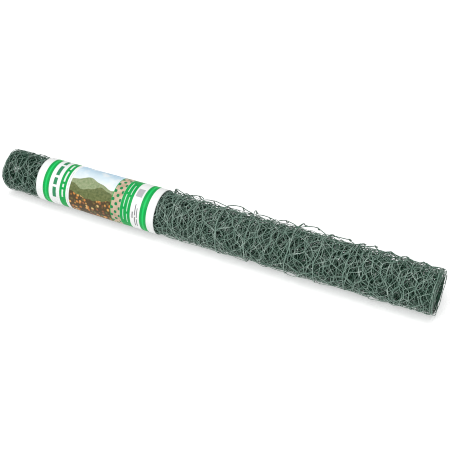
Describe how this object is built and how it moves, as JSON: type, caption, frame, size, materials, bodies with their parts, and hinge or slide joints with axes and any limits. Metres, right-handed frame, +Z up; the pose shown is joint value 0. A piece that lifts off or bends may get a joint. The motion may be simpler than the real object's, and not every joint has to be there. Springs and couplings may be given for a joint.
{
  "type": "roll of hexagonal wire netting",
  "caption": "Roll of green plastic-coated hexagonal wire netting lying on its side, with a paper label sleeve round one part of it.",
  "frame": {"origin": "on the floor under the middle of the lying roll", "axes": "+X along the roll's axis, away from the end that the label is near; +Z up"},
  "size_m": [0.5, 0.0494, 0.0494],
  "materials": {
    "coated_wire": "satin green plastic coat on thin steel wire",
    "label_paper": "smooth printed paper, white with green stripes"
  },
  "bodies": {
    "root": {"netting_roll": "coated_wire", "label_sleeve": "label_paper"}
  },
  "joints": []
}
